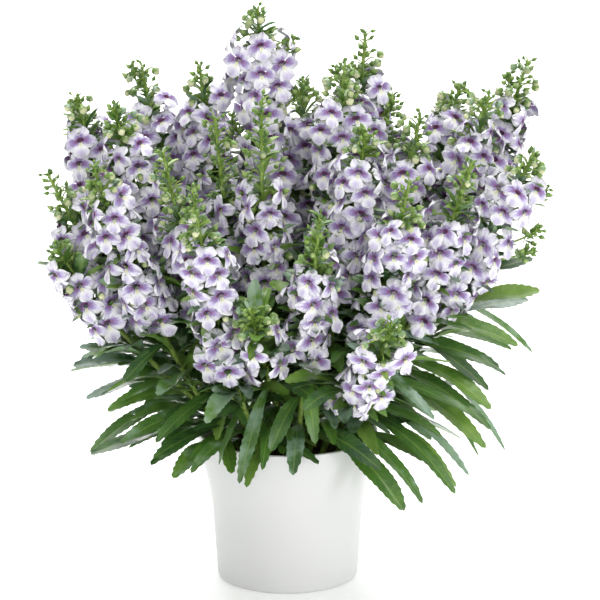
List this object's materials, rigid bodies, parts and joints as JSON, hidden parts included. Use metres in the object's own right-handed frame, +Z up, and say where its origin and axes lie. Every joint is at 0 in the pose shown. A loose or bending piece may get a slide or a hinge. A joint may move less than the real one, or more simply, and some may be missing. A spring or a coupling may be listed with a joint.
{
  "type": "potted angelonia",
  "caption": "Bushy flowering plant in a plain round pot: upright leafy stems fan out of the soil and end in spikes of two-lipped, white and lilac flowers.",
  "frame": {"origin": "centre of the pot's flat base, on the surface that it stands on", "axes": "+Z up, -Y towards the front of the plant, +X to the right as seen from the front"},
  "size_m": [0.35, 0.2654, 0.417],
  "materials": {
    "pot": "satin white moulded plastic",
    "soil": "dark crumbly potting soil of peat and bark",
    "foliage": "mid to dark green leaves with a soft gloss, light green stems and green buds",
    "petals": "soft white to pale lilac petals with a purple band round a pale throat"
  },
  "bodies": {
    "root": {"pot": "pot", "soil": "soil", "leafy_stem_01": "foliage", "leafy_stem_02": "foliage", "leafy_stem_03": "foliage", "leafy_stem_04": "foliage", "leafy_stem_05": "foliage", "leafy_stem_06": "foliage", "leafy_stem_07": "foliage", "leafy_stem_08": "foliage", "leafy_stem_09": "foliage", "leafy_stem_10": "foliage", "leafy_stem_11": "foliage", "leafy_stem_12": "foliage", "leafy_stem_13": "foliage", "leafy_stem_14": "foliage", "leafy_stem_15": "foliage", "leafy_stem_16": "foliage", "leafy_stem_17": "foliage", "leafy_stem_18": "foliage", "leafy_stem_19": "foliage", "leafy_stem_20": "foliage", "leafy_stem_21": "foliage", "leafy_stem_22": "foliage", "leafy_stem_23": "foliage", "raceme_01": "petals", "raceme_02": "petals", "raceme_03": "petals", "raceme_04": "petals", "raceme_05": "petals", "raceme_06": "petals", "raceme_07": "petals", "raceme_08": "petals", "raceme_09": "petals", "raceme_10": "petals", "raceme_11": "petals", "raceme_12": "petals", "raceme_13": "petals", "raceme_14": "petals", "raceme_15": "petals", "raceme_16": "petals", "raceme_17": "petals", "raceme_18": "petals", "raceme_19": "petals", "raceme_20": "petals", "raceme_21": "petals", "raceme_22": "petals", "raceme_23": "petals", "raceme_24": "petals", "raceme_25": "petals", "raceme_26": "petals", "raceme_27": "petals", "raceme_28": "petals", "raceme_29": "petals", "raceme_30": "petals", "raceme_31": "petals", "raceme_32": "petals", "raceme_33": "petals", "raceme_34": "petals"}
  },
  "joints": []
}
